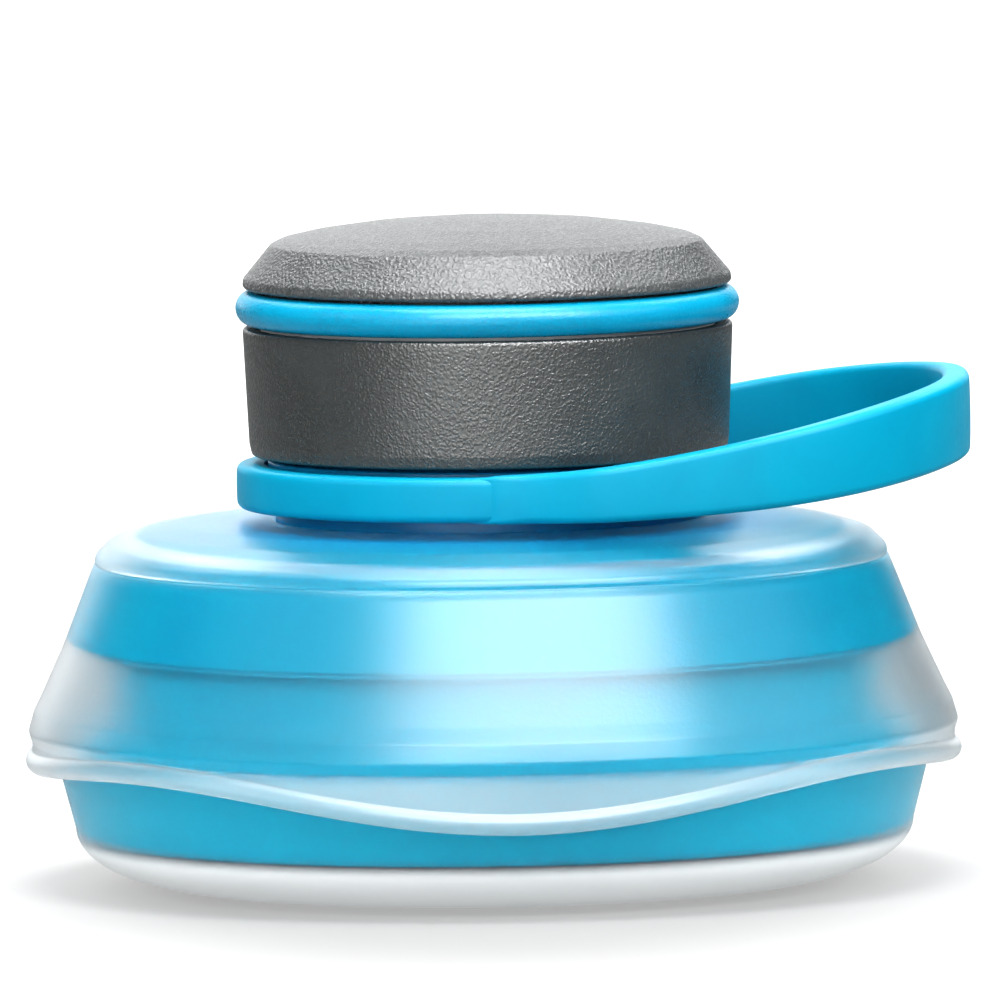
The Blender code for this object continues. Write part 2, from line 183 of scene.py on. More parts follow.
# ================================================================ materials
class Tree:
    """A small helper round a material's node tree."""

    def __init__(self, name):
        self.mat = bpy.data.materials.new(name)
        self.mat.use_nodes = True
        self.nt = self.mat.node_tree
        self.shader = self.nt.nodes["Principled BSDF"]
        self.out = self.nt.nodes["Material Output"]
        self.coord = self.nt.nodes.new("ShaderNodeTexCoord")

    def node(self, kind, **settings):
        made = self.nt.nodes.new(kind)
        for key, value in settings.items():
            setattr(made, key, value)
        return made

    def link(self, a, b):
        self.nt.links.new(a, b)

    def put(self, socket, value):
        self.shader.inputs[socket].default_value = value

    def noise(self, scale, detail=2.0, rough=0.5, source=None, distortion=0.0, kind=None):
        tex = self.node("ShaderNodeTexNoise")
        if kind:
            tex.noise_type = kind
        self.link(source or self.coord.outputs["Object"], tex.inputs["Vector"])
        tex.inputs["Scale"].default_value = scale
        tex.inputs["Detail"].default_value = detail
        tex.inputs["Roughness"].default_value = rough
        tex.inputs["Distortion"].default_value = distortion
        return tex.outputs["Fac"]

    def span(self, source, a, b, c, d, smooth=False):
        """Maps a..b to c..d, clamped."""
        node = self.node("ShaderNodeMapRange")
        if smooth:
            node.interpolation_type = 'SMOOTHSTEP'
        self.link(source, node.inputs["Value"])
        for key, value in (("From Min", a), ("From Max", b), ("To Min", c), ("To Max", d)):
            node.inputs[key].default_value = value
        return node.outputs["Result"]

    def math(self, operation, a, b):
        node = self.node("ShaderNodeMath", operation=operation)
        for i, v in enumerate((a, b)):
            if isinstance(v, (int, float)):
                node.inputs[i].default_value = v
            else:
                self.link(v, node.inputs[i])
        return node.outputs[0]

    def mix(self, factor, a, b):
        node = self.node("ShaderNodeMix", data_type='RGBA')
        self.link(factor, node.inputs["Factor"])
        for i, v in ((6, a), (7, b)):
            if isinstance(v, tuple):
                node.inputs[i].default_value = (*v, 1.0) if len(v) == 3 else v
            else:
                self.link(v, node.inputs[i])
        return node.outputs[2]

    def bump(self, height, strength, distance, normal=None):
        node = self.node("ShaderNodeBump")
        node.inputs["Strength"].default_value = strength
        node.inputs["Distance"].default_value = distance
        self.link(height, node.inputs["Height"])
        if normal is not None:
            self.link(normal, node.inputs["Normal"])
        return node.outputs["Normal"]

    def height_split(self):
        node = self.node("ShaderNodeSeparateXYZ")
        self.link(self.coord.outputs["Object"], node.inputs[0])
        return node.outputs


def frosted(name, tint_a, tint_b, clear, rough=(0.31, 0.38), gloss=0.26, ior=1.32):
    """Milky translucent plastic with the fine matt texture of an etched mould."""
    t = Tree(name)
    cloud = t.noise(55.0, 3.0, 0.55)
    fine = t.noise(2100.0, 2.0, 0.6)
    t.link(t.mix(t.span(cloud, 0.35, 0.65, 0.0, 1.0), tint_a, tint_b), t.shader.inputs["Base Color"])
    spread = t.math('ADD', t.span(cloud, 0.3, 0.7, rough[0], rough[1]), t.span(fine, 0.3, 0.7, -0.02, 0.04))
    t.link(spread, t.shader.inputs["Roughness"])
    t.put("Transmission Weight", clear)
    t.put("IOR", ior)
    t.put("Specular IOR Level", 0.2)
    t.put("Coat Weight", 1.0)
    t.put("Coat IOR", 1.5)
    t.put("Coat Roughness", gloss)
    normal = t.bump(fine, 0.35, 0.00004)
    t.link(normal, t.shader.inputs["Normal"])
    t.link(normal, t.shader.inputs["Coat Normal"])
    return t


def milk_by_height(t, low, high, clear_low, clear_high):
    """More milk in the thick lower wall, less above."""
    z = t.height_split()["Z"]
    t.link(t.span(z, low, high, clear_low, clear_high, smooth=True), t.shader.inputs["Transmission Weight"])


def leather_grain(t, cell, depth, strength=1.0):
    """Worm-like moulded grain: stretched cells with rounded tops and fine grooves."""
    warp = t.node("ShaderNodeTexNoise")
    t.link(t.coord.outputs["Object"], warp.inputs["Vector"])
    warp.inputs["Scale"].default_value = 0.55 / cell
    warp.inputs["Detail"].default_value = 1.0
    add = t.node("ShaderNodeVectorMath", operation='MULTIPLY_ADD')
    t.link(warp.outputs["Color"], add.inputs[0])
    add.inputs[1].default_value = (cell * 1.5,) * 3
    t.link(t.coord.outputs["Object"], add.inputs[2])
    cells = t.node("ShaderNodeTexVoronoi", feature='SMOOTH_F1')
    cells.inputs["Scale"].default_value = 1.0 / cell
    cells.inputs["Smoothness"].default_value = 0.55
    cells.inputs["Randomness"].default_value = 1.0
    t.link(add.outputs[0], cells.inputs["Vector"])
    tops = t.span(cells.outputs["Distance"], 0.15, 0.75, 1.0, 0.0, smooth=True)
    lumps = t.noise(0.7 / cell, 3.0, 0.6, source=add.outputs[0])
    height = t.math('ADD', t.math('MULTIPLY', tops, 0.7), t.math('MULTIPLY', lumps, 0.6))
    return tops, height, t.bump(height, strength, depth)


def grained(name, top_colour, groove_shade_colour, rough_top, rough_groove, cell, depth, strength=1.0, level=0.5):
    t = Tree(name)
    tops, height, normal = leather_grain(t, cell, depth, strength)
    cloud = t.noise(140.0, 3.0, 0.6)
    # painted shade: the grain's grooves take a darker colour than its tops
    base = t.mix(tops, groove_shade_colour, top_colour)
    lighter = tuple(min(1.0, c * 1.16) for c in top_colour)
    t.link(t.mix(t.span(cloud, 0.40, 0.72, 0.0, 0.45), base, lighter), t.shader.inputs["Base Color"])
    t.link(t.math('ADD', t.span(tops, 0.0, 1.0, rough_groove, rough_top), t.span(cloud, 0.3, 0.7, -0.03, 0.04)),
           t.shader.inputs["Roughness"])
    t.put("Specular IOR Level", level)
    t.link(normal, t.shader.inputs["Normal"])
    return t


def elastomer(name, colour_a, colour_b, rough=(0.36, 0.46), fine_scale=1500.0, bump=0.25, level=0.5, soft=0.0):
    """Soft coloured elastomer: a satin skin, faint flow marks and fine pitting."""
    t = Tree(name)
    cloud = t.noise(90.0, 3.0, 0.55, distortion=0.6)
    fine = t.noise(fine_scale, 3.0, 0.6)
    t.link(t.mix(t.span(cloud, 0.35, 0.65, 0.0, 1.0), colour_a, colour_b), t.shader.inputs["Base Color"])
    t.link(t.math('ADD', t.span(cloud, 0.3, 0.7, rough[0], rough[1]), t.span(fine, 0.3, 0.7, -0.03, 0.03)),
           t.shader.inputs["Roughness"])
    t.put("Specular IOR Level", level)
    if soft:
        t.put("Subsurface Weight", soft)
        t.put("Subsurface Radius", (0.2, 0.8, 1.0))
        t.put("Subsurface Scale", 0.0012)
    t.link(t.bump(fine, bump, 0.00004), t.shader.inputs["Normal"])
    return t


m_shell = frosted("frosted_shell_plastic", (0.95, 0.985, 1.0), (0.93, 0.975, 0.99), 1.0, rough=(0.32, 0.38), gloss=0.34, ior=1.15)
m_base = frosted("frosted_base_plastic", (0.95, 0.98, 0.99), (0.93, 0.97, 0.98), 0.97, rough=(0.32, 0.38), ior=1.15)
m_shell_inner = frosted("frosted_shell_inner_skin", (0.95, 0.985, 1.0), (0.93, 0.975, 0.99), 1.0, rough=(0.28, 0.34), ior=1.15)
# more milk in the thick lip
shell_z = m_shell.height_split()["Z"]
lip_milk = m_shell.span(shell_z, 0.0126, 0.0142, 0.13, 0.0, smooth=True)
m_shell.link(m_shell.math('SUBTRACT', 1.0, lip_milk), m_shell.shader.inputs["Transmission Weight"])
m_shell_inner.put("Coat Weight", 0.0)
m_shell_inner.put("Specular IOR Level", 0.0)
m_base.put("Coat Weight", 0.45)
milk_by_height(m_base, 0.0036, 0.0050, 0.15, 0.99)
# painted shade and reflection: the neck is frosted plastic tinted deep blue, for the shade in the crevice under the
# ring and the blue ring mirrored there
m_neck_painted_blue = frosted("neck_plastic", (0.0, 0.22, 0.43), (0.0, 0.18, 0.37), 0.20, rough=(0.28, 0.36), ior=1.45)
m_neck_painted_blue.put("Coat Weight", 0.25)
m_strap = elastomer("strap_elastomer", (0.0, 0.268, 0.408), (0.0, 0.245, 0.380), rough=(0.34, 0.42), level=0.12)
m_accent = grained("accent_elastomer", (0.0, 0.255, 0.410), (0.0, 0.225, 0.370), 0.26, 0.34, 0.00040, 0.00003, 0.45, level=0.30)
m_liner = elastomer("cap_liner_plastic", (0.60, 0.63, 0.65), (0.55, 0.58, 0.60), rough=(0.30, 0.40), bump=0.1)
m_disc = elastomer("cap_disc_plastic", (0.58, 0.61, 0.63), (0.53, 0.56, 0.58), rough=(0.34, 0.44), bump=0.1)
m_gasket = elastomer("gasket_silicone", (0.78, 0.80, 0.81), (0.72, 0.74, 0.76), rough=(0.48, 0.58), bump=0.15)
# painted light and shade: the dome and the skirt are one grained cap plastic; the dome's lighter grey is a lit copy and
# the skirt's darker grey a shaded copy of it
m_dome_lit_copy = grained("cap_grain", (0.082, 0.086, 0.087), (0.042, 0.045, 0.046), 0.24, 0.40, 0.00034, 0.00008, 1.0, level=0.6)
m_skirt_shaded_copy = grained("cap_skirt_grain_shaded_copy", (0.036, 0.040, 0.039), (0.022, 0.025, 0.025), 0.25, 0.40, 0.00030, 0.00005, 0.85, level=1.0)


def film_material(name, colour_a, colour_b, clear, level):
    """Thin tinted film: glossy, slightly see-through, with soft creases."""
    t = Tree(name)
    cloud = t.noise(70.0, 3.0, 0.55)
    fine = t.noise(1300.0, 2.0, 0.6)
    crease = t.noise(150.0, 3.0, 0.55, distortion=0.8)
    t.link(t.mix(t.span(cloud, 0.35, 0.65, 0.0, 1.0), colour_a, colour_b), t.shader.inputs["Base Color"])
    t.link(t.span(fine, 0.3, 0.7, 0.30, 0.42), t.shader.inputs["Roughness"])
    t.put("Transmission Weight", clear)
    t.put("IOR", 1.48)
    t.put("Specular IOR Level", level)
    normal = t.bump(crease, 0.35, 0.0005)
    t.link(t.bump(fine, 0.2, 0.00003, normal), t.shader.inputs["Normal"])
    return t


m_film = film_material("film_sheet", (0.0, 0.43, 0.62), (0.0, 0.39, 0.58), 0.06, 0.03)
m_cuff = film_material("film_upper_cuff_band", (0.0, 0.37, 0.55), (0.0, 0.33, 0.51), 0.04, 0.0)
# painted reflection and shade: a deeper blue in towards the neck, for the blue ring mirrored in the shoulder and the
# shade under it
painted_blue_xy = m_cuff.node("ShaderNodeVectorMath", operation='MULTIPLY')
m_cuff.link(m_cuff.coord.outputs["Object"], painted_blue_xy.inputs[0])
painted_blue_xy.inputs[1].default_value = (1.0, 1.0, 0.0)
painted_blue_radius = m_cuff.node("ShaderNodeVectorMath", operation='LENGTH')
m_cuff.link(painted_blue_xy.outputs[0], painted_blue_radius.inputs[0])
cuff_blue = m_cuff.shader.inputs["Base Color"].links[0].from_socket
m_cuff.link(m_cuff.mix(m_cuff.span(painted_blue_radius.outputs["Value"], 0.0235, 0.0320, 1.0, 0.0, smooth=True), cuff_blue, (0.0, 0.46, 0.86)),
            m_cuff.shader.inputs["Base Color"])
# painted light: the lower cuff is a lighter copy of the film's blue, making up for the shade under the overhanging
# skirt
m_cuff_low_painted_light = film_material("film_lower_cuff_band_painted_light", (0.0, 0.47, 0.67), (0.0, 0.43, 0.63), 0.04, 0.0)


# ================================================================ mesh helpers
def rounded(points, closed=True, segments=5):
    """A polyline of (radius, height, corner radius) in mm, with its corners rounded."""
    out = []
    n = len(points)
    for i, (x, y, rad) in enumerate(points):
        if rad <= 0 or (not closed and i in (0, n - 1)):
            out.append((x, y))
            continue
        p = np.array((x, y), float)
        a = np.array(points[i - 1][:2], float) - p
        b = np.array(points[(i + 1) % n][:2], float) - p
        la, lb = np.linalg.norm(a), np.linalg.norm(b)
        a, b = a / la, b / lb
        turn = math.pi - math.acos(max(-1.0, min(1.0, float(a @ b))))
        d = min(rad * math.tan(turn / 2), 0.48 * la, 0.48 * lb)
        if d < 1e-4:
            out.append((x, y))
            continue
        for k in range(segments + 1):
            t = k / segments
            q = (1 - t) ** 2 * (p + a * d) + 2 * t * (1 - t) * p + t * t * (p + b * d)
            out.append((float(q[0]), float(q[1])))
    return out


def dense(points, step, closed=True):
    """The same polyline with no edge longer than step."""
    out = []
    n = len(points)
    for i in range(n if closed else n - 1):
        a, b = np.array(points[i], float), np.array(points[(i + 1) % n], float)
        cuts = max(1, int(math.ceil(np.linalg.norm(b - a) / step)))
        if a[0] < 1e-9 and b[0] < 1e-9:
            cuts = 1
        for k in range(cuts):
            out.append(tuple(a + (b - a) * k / cuts))
    if not closed:
        out.append(tuple(points[-1]))
    return out


def tidy(mesh):
    bm = bmesh.new()
    bm.from_mesh(mesh)
    bmesh.ops.recalc_face_normals(bm, faces=bm.faces)
    bm.to_mesh(mesh)
    bm.free()
    mesh.shade_smooth()


def revolve(name, profile, steps=STEPS, warp=None):
    """A closed profile of (radius, height) in mm spun about Z into one closed mesh.  Points on the axis become poles."""
    rings, verts = [], []
    angles = np.arange(steps) * TAU / steps
    ca, sa = np.cos(angles), np.sin(angles)
    total = 0
    for r, z in profile:
        if r < 1e-9:
            rings.append((total, 1))
            verts.append(np.array([[0.0, 0.0, z]]))
            total += 1
        else:
            rings.append((total, steps))
            verts.append(np.stack([r * ca, r * sa, np.full(steps, z)], axis=1))
            total += steps
    co = np.concatenate(verts)
    if warp is not None:
        co = warp(co)
    faces = []
    n = len(profile)
    for i in range(n):
        (a, na), (b, nb) = rings[i], rings[(i + 1) % n]
        if na == 1 and nb == 1:
            continue
        for k in range(steps):
            m = (k + 1) % steps
            if na == 1:
                faces.append((a, b + k, b + m))
            elif nb == 1:
                faces.append((a + k, b, a + m))
            else:
                faces.append((a + k, b + k, b + m, a + m))
    mesh = bpy.data.meshes.new(name)
    mesh.from_pydata((co * MM).tolist(), [], faces)
    mesh.update()
    tidy(mesh)
    obj = bpy.data.objects.new(name, mesh)
    pieces.objects.link(obj)
    return obj


def dress(obj, tree, body, slot, *nodes):
    obj.data.materials.clear()
    obj.data.materials.append(tree.mat)
    if nodes:
        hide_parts(*nodes)
    if body:
        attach(obj, body)
    return obj


def arc(cx, cz, rx, rz, a0, a1, count):
    return [(cx + rx * math.cos(math.radians(a0 + (a1 - a0) * i / count)),
             cz + rz * math.sin(math.radians(a0 + (a1 - a0) * i / count))) for i in range(count + 1)]


def ease(t):
    t = np.clip(t, 0.0, 1.0)
    return t * t * (3 - 2 * t)


# ================================================================ base cup
# An open frosted cup: a flat foot, a big soft rounding and a nearly upright wall.
FOOT_R, FOOT_ROUND_R, FOOT_ROUND_Z, WALL = 28.5, 40.3, 5.6, 1.6
foot_out = arc(FOOT_R, FOOT_ROUND_Z, FOOT_ROUND_R - FOOT_R, FOOT_ROUND_Z, 0, -90, 22)
foot_in = arc(FOOT_R, FOOT_ROUND_Z, FOOT_ROUND_R - FOOT_R - WALL, FOOT_ROUND_Z - WALL, -90, 0, 22)
wall_in = rounded([(38.7, 5.6, 0), (39.9, 10.2, 6), (40.6, 13.45, 0.25), (40.95, 13.8, 0.25), (41.85, 13.8, 0.3),
                   (42.2, 13.4, 0.3), (41.5, 10.2, 6), (40.3, 5.6, 0)], closed=False)
cup_profile = ([(0.0, WALL), (9.0, WALL), (10.0, WALL + 0.0), (26.0, WALL)] + foot_in + wall_in[1:-1] + foot_out
               + [(26.6, 0.0), (25.9, 0.12), (25.0, 0.42), (24.2, 0.5), (10.0, 0.5), (4.0, 0.5), (0.0, 0.5)])
base_cup = revolve("base_cup_looks", dense(cup_profile, 1.2))
dress(base_cup, m_base, "base", "base_shell", "base_cup")

# ================================================================ film cuffs
# The film's two welded ends: a doubled band inside the cup's rim, and one inside the cone.
lower_cuff = revolve("film_lower_cuff", dense(rounded([
    (37.35, 4.85, 0.25), (38.45, 4.80, 0.25), (38.80, 5.6, 1.5), (39.99, 10.2, 5), (40.62, 12.95, 0.3), (39.50, 13.3, 0.3),
    (38.82, 10.3, 5), (37.65, 5.9, 1.5)]), 0.8))
dress(lower_cuff, m_cuff_low_painted_light, "base", "film", "sleeve_lower_cuff")

CUFF_LOW = 23.0


def cone_in(z):
    """Inside radius of the cone at a height."""
    return 39.7 + (36.35 - 39.7) * (z - 22.5) / (31.1 - 22.5)


# the upper end turns in under the shoulder and is welded there too
upper_cuff = revolve("film_upper_cuff", dense(rounded([
    (cone_in(23.0) - 1.1, 23.0, 0.3), (cone_in(30.2) - 1.1, 30.2, 0.8), (34.3, 31.45, 0.8), (32.9, 31.95, 2.0),
    (29.0, 32.55, 4), (24.7, 32.75, 0.2), (24.4, 32.98, 0.1), (20.8, 32.98, 0.1), (20.8, 33.36, 0.1), (25.0, 33.33, 0),
    (29.0, 33.26, 4), (33.1, 32.66, 2.0), (34.9, 32.15, 0.8),
    (cone_in(30.9) - 0.35, 31.0, 0.3), (cone_in(30.55) + 0.07, 30.65, 0.15), (cone_in(23.0) + 0.08, 23.0, 0.25)]), 0.8))
dress(upper_cuff, m_cuff, "top", "film", "sleeve_upper_cuff")

# ================================================================ folded film
# One sheet, from the lower cuff's rim in and round the stack of folds, over the
# stack's top and down the upper cuff's inside to that cuff's lower edge.
FILM_T = 0.30
layers = [36.6, 36.15, 35.7, 35.25, 34.8, 34.35, 33.9]
path = [(39.78, 12.6, 0), (39.62, 14.15, 1.0), (38.7, 15.2, 2.0), (37.2, 16.3, 2.0), (36.6, 17.8, 2.0)]
tops = [22.5, 22.5, 28.3, 28.3, 28.9, 28.9, 30.15]
foot = 4.75
path.append((36.6, tops[0], 0.24))
for i, r in enumerate(layers[1:], start=1):
    going_down = i % 2 == 1
    lean = 0.0
    if going_down:
        path.append((r, tops[i - 1], 0.24))
        path.append((r, foot + 0.12 * (i % 4), 0.24))
    else:
        path.append((r, foot + 0.12 * ((i - 1) % 4), 0.24))
        path.append((r, tops[i], 0.24 if i < 6 else 0.5))
path += [(35.35, 30.3, 0.45)]
for z in (28.6, 26.5, 24.5, 22.75):
    path.append((cone_in(z) - 1.35, z, 0.9 if z > 23 else 0.3))
path += [(cone_in(22.6) - 0.72, 22.55, 0.28), (cone_in(23.4) - 0.7, 23.5, 0)]


def leaned(r, z):
    """The layers under the cuff lean in a little, as the cone closes."""
    return r - max(0.0, z - 24.0) * 0.07 if r < 36.0 and z > 24.0 else r


centre = dense(rounded(path, closed=False, segments=7), 0.7, closed=False)
centre = np.array([(leaned(r, z), z) for r, z in centre])
step = np.linalg.norm(np.diff(centre, axis=0), axis=1)
along = np.concatenate([[0.0], np.cumsum(step)])
FILM_LENGTH = float(along[-1])
tangent = np.gradient(centre, axis=0)
tangent /= np.linalg.norm(tangent, axis=1)[:, None]
normal = np.stack([-tangent[:, 1], tangent[:, 0]], axis=1)
left = centre + normal * FILM_T / 2
right = centre - normal * FILM_T / 2
film_profile = [tuple(p) for p in left] + [tuple(p) for p in right[::-1]]
film_s = np.concatenate([along, along[::-1]])
FILM_STEPS = 128


def film_warp(co):
    """Soft unevenness that all the layers share, so that they stay apart."""
    a = np.arctan2(co[:, 1], co[:, 0])
    r = np.hypot(co[:, 0], co[:, 1])
    z = co[:, 2]
    calm = ease((z - 15.0) / 2.0) * ease((22.9 - z) / 1.5) * (r > 33.0)
    wave = (0.10 * np.sin(5 * a + 0.7) + 0.08 * np.sin(9 * a + 2.1 + z * 0.25) + 0.06 * np.sin(17 * a - 1.3 - z * 0.4))
    scale = (r + wave * calm * (r < 37.5)) / r
    out = co.copy()
    out[:, 0] *= scale
    out[:, 1] *= scale
    return out


film = revolve("film_sleeve_folds", film_profile, FILM_STEPS, film_warp)
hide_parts("film_sleeve")
film.data.materials.append(m_film.mat)
z_rest = np.array([v.co.z for v in film.data.vertices]) / MM
s_of = np.repeat(film_s, FILM_STEPS)
Z0, Z1, TRAVEL = 13.6, 23.0 + 150.0, 150.0
z_open = Z0 + (s_of / FILM_LENGTH) * (Z1 - Z0)
share = np.clip((z_open - z_rest) / TRAVEL, 0.0, 1.0)
share[s_of < 1.2] = 0.0
share[s_of > FILM_LENGTH - 1.2] = 1.0
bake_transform(film, "base", "top", start=(0, 0, 0.0136), end=(0, 0, 0.030))
film.data.attributes["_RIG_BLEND"].data.foreach_set("value", share.astype(np.float32))

# ================================================================ top shell
# Shoulder, cone and overhanging skirt in one frosted moulding with a beaded lip.
WAVE_PHASE = math.radians(3.0)
BEAD = arc(43.95, 12.1, 1.05, 1.05, 65, -245, 26)
shell_profile = (
    rounded([(20.9, 35.0, 0.25), (22.0, 35.0, 0), (29.0, 34.74, 9), (33.8, 34.12, 7), (36.6, 33.25, 2.4),
             (37.95, 31.9, 1.6), (38.12, 31.25, 0.35), (37.98, 30.98, 0.25), (38.25, 30.8, 0), (41.3, 23.0, 9), (43.4, 18.4, 6),
             (44.15, 16.9, 2), (44.7, 15.0, 0.9), (44.42, 14.1, 0.5)], closed=False)
    + [(44.38, 13.95), (44.37, 13.86), (44.37, 13.74), (44.37, 13.62), (44.37, 13.5), (44.37, 13.38), (44.38, 13.26),
       (44.39, 13.15)]
    + BEAD
    + [(43.38, 13.15), (43.3, 13.26), (43.24, 13.38), (43.2, 13.5), (43.17, 13.62), (43.15, 13.74), (43.14, 13.86)]
    + rounded([(43.12, 14.0, 0), (43.2, 15.0, 0.6), (42.6, 16.7, 1.5), (41.9, 18.1, 4), (39.7, 22.5, 8),
               (36.5, 30.8, 1.2), (35.4, 32.1, 1.2), (33.2, 32.6, 4), (29.0, 33.2, 6), (21.2, 33.4, 0), (20.9, 33.4, 0.2)],
              closed=False)
)


def lip_wave(co):
    """The beaded lip dips at the front and back and lifts between, below a level crease."""
    out = co.copy()
    z = co[:, 2]
    t = ease((13.95 - z) / 0.85)
    a = np.arctan2(co[:, 1], co[:, 0]) - WAVE_PHASE
    out[:, 2] -= (0.30 - 1.45 * np.cos(2 * a) + 1.10 * np.cos(4 * a)) * t
    return out


top_shell = revolve("top_shell_looks", dense(shell_profile, 1.1), 240, lip_wave)
dress(top_shell, m_shell, "top", "top_shell", "top_shell")
top_shell.data.materials.append(m_shell_inner.mat)
for face in top_shell.data.polygons:
    # the inner skin is what faces the axis or the floor, above the lip
    c, n = face.center, face.normal
    if c.z > 0.0137 and (n.x * c.x + n.y * c.y < 0 or n.z < -0.6) and math.hypot(c.x, c.y) > 0.0212:
        face.material_index = 1

# ================================================================ neck
THREAD_PITCH, THREAD_TURNS = 4.0, 1.75


def thread_height(a, z, z_start, phase, reach=0.95):
    """How far a round thread ridge stands out at angle a and height z, from 0 to 1."""
    out = np.zeros_like(a)
    for k in range(-1, 4):
        theta = a + TAU * k
        inside = (theta >= phase) & (theta <= phase + TAU * THREAD_TURNS)
        line = z_start + THREAD_PITCH * theta / TAU
        body = np.clip(1.0 - np.abs(z - line) / reach, 0.0, 1.0)
        body = np.sqrt(np.clip(1.0 - (1.0 - body) ** 2, 0, 1)) * ease(body * 2.2)
        ends = ease((theta - phase) / 0.45) * ease((phase + TAU * THREAD_TURNS - theta) / 0.45)
        out = np.maximum(out, np.where(inside, body * ends, 0.0))
    return out


def neck_thread(co):
    r = np.hypot(co[:, 0], co[:, 1])
    a = np.arctan2(co[:, 1], co[:, 0]) % TAU
    h = thread_height(a, co[:, 2], 43.6, 0.0) * ((r > 19.0) & (co[:, 2] > 41.5))
    scale = (r + 0.74 * h) / r
    out = co.copy()
    out[:, 0] *= scale
    out[:, 1] *= scale
    return out


neck_profile = rounded([
    (17.8, 31.7, 0.3), (17.8, 52.6, 0.5), (19.8, 52.6, 0.6), (19.8, 41.1, 0.5), (21.3, 40.8, 0.25), (21.3, 40.0, 0.15),
    (20.6, 40.0, 0.3), (20.6, 32.9, 0.3), (24.0, 32.9, 0.2), (24.0, 31.7, 0.2)])
neck = revolve("threaded_neck_looks", dense(neck_profile, 0.22), 160, neck_thread)
dress(neck, m_neck_painted_blue, "top", "neck", "threaded_neck")

# ================================================================ handle ring
ring_profile = rounded([
    (20.95, 36.2, 0.3), (20.95, 39.65, 0.15), (21.65, 39.65, 0.1), (21.65, 40.42, 0.1), (22.4, 40.5, 0.4),
    (24.3, 40.5, 0.85), (24.34, 38.4, 9), (24.3, 36.2, 0.85)], segments=7)
ring = revolve("handle_ring_looks", dense(ring_profile, 0.6), 176)
dress(ring, m_strap, "ring", "strap", "handle_ring")

# ================================================================ carry loop
PIVOT_Z, LOOP_Y, LOOP_T = 38.4, 26.2, 2.6
LOOP_X1, STRAIGHT = 46.2, 22.0
ROOT_X = -2.6


def arm_out(x):
    """Where the arm's outer face lies, from the axis: it comes out of the ring's face near x 0, at a slight edge."""
    full = 25.5 + 0.7 * ease((x - 1.6) / 10.0) + LOOP_T / 2
    start = 23.9 + 0.62 * ease((x + 1.2) / 2.4)
    return float(start + (full - start) * ease((x - 0.2) / 12.0))


def arm_in(x):
    ring_face = math.sqrt(max(0.0, 23.5 ** 2 - x * x))
    far = 25.5 + 0.7 * float(ease((x - 1.6) / 10.0)) - LOOP_T / 2
    return ring_face + (max(far, ring_face) - ring_face) * float(ease((x - 2.5) / 5.0))


def loop_plan():
    pts = []
    xs = list(np.linspace(ROOT_X, 3.0, 12)) + list(np.linspace(3.6, STRAIGHT, 20))[:-1]
    for x in xs:
        o, i = arm_out(x), arm_in(x)
        pts.append((x, -(o + i) / 2, 0.0, -1.0, (o - i) / 2))
    half = LOOP_X1 - LOOP_T / 2 - STRAIGHT
    power = 2.4
    count = 64
    for i in range(count + 1):
        # even spacing along the squared-off end
        u = -1 + 2 * i / count
        a = math.pi / 2 * (0.82 * u + 0.18 * u ** 3)
        c, s = math.cos(a), math.sin(a)
        x = STRAIGHT + half * math.copysign(abs(c) ** (2 / power), c)
        y = LOOP_Y * math.copysign(abs(s) ** (2 / power), s)
        nx = math.copysign(abs(c) ** (2 - 2 / power), c) / half
        ny = math.copysign(abs(s) ** (2 - 2 / power), s) / LOOP_Y
        n = math.hypot(nx, ny)
        pts.append((x, y, nx / n, ny / n, LOOP_T / 2))
    for x in xs[::-1]:
        o, i = arm_out(x), arm_in(x)
        pts.append((x, (o + i) / 2, 0.0, 1.0, (o - i) / 2))
    return pts


def section(half_w, half_h, soft, steps=6):
    """A tall flat section with rounded corners and slightly crowned faces, as (out, up) pairs."""
    e = min(soft, half_w * 0.92, half_h * 0.92)
    corners = []
    for cx, cy, a0 in ((half_w - e, half_h - e, 0), (-(half_w - e), half_h - e, 90),
                       (-(half_w - e), -(half_h - e), 180), (half_w - e, -(half_h - e), 270)):
        corners.append([(cx + e * math.cos(math.radians(a0 + 90 * k / steps)),
                         cy + e * math.sin(math.radians(a0 + 90 * k / steps))) for k in range(steps + 1)])
    rows = []
    for i, corner in enumerate(corners):
        rows += corner
        p, q = corner[-1], corners[(i + 1) % 4][0]
        for k in range(1, 8):
            t = k / 8
            crown = 0.06 * 4 * t * (1 - t) * (i % 2)          # only the tall faces are crowned
            rows.append((p[0] + (q[0] - p[0]) * t + (crown if p[0] > 0 else -crown), p[1] + (q[1] - p[1]) * t))
        if i % 2 == 0:
            del rows[-7:]
    return rows


sections = []
for x, y, nx, ny, half_w in loop_plan():
    height = 4.7 + (7.9 - 4.7) * float(ease(max(0.0, x) / 42.0))
    if x < 1.6:
        height = 4.22 + (height - 4.22) * float(ease((x - ROOT_X) / (1.6 - ROOT_X)))
    bend = 1.25 - 0.45 * y / LOOP_Y
    mid = PIVOT_Z + 6.3 * (max(0.0, x) / LOOP_X1) ** bend
    soft = 0.75
    if x < 0:
        mid = PIVOT_Z - 0.05
    sections.append([((x + nx * u), (y + ny * u), mid + w) for u, w in section(half_w, height / 2, soft)])
n_sec, n_pt = len(sections), len(sections[0])
verts = [p for sec in sections for p in sec]
faces = []
for i in range(n_sec - 1):
    for k in range(n_pt):
        m = (k + 1) % n_pt
        faces.append((i * n_pt + k, i * n_pt + m, (i + 1) * n_pt + m, (i + 1) * n_pt + k))
for base_i, flip in ((0, False), ((n_sec - 1) * n_pt, True)):
    c = len(verts)
    verts.append(tuple(np.mean(np.array(verts[base_i:base_i + n_pt]), axis=0)))
    for k in range(n_pt):
        m = (k + 1) % n_pt
        faces.append((c, base_i + m, base_i + k) if not flip else (c, base_i + k, base_i + m))
loop_mesh = bpy.data.meshes.new("carry_loop_looks")
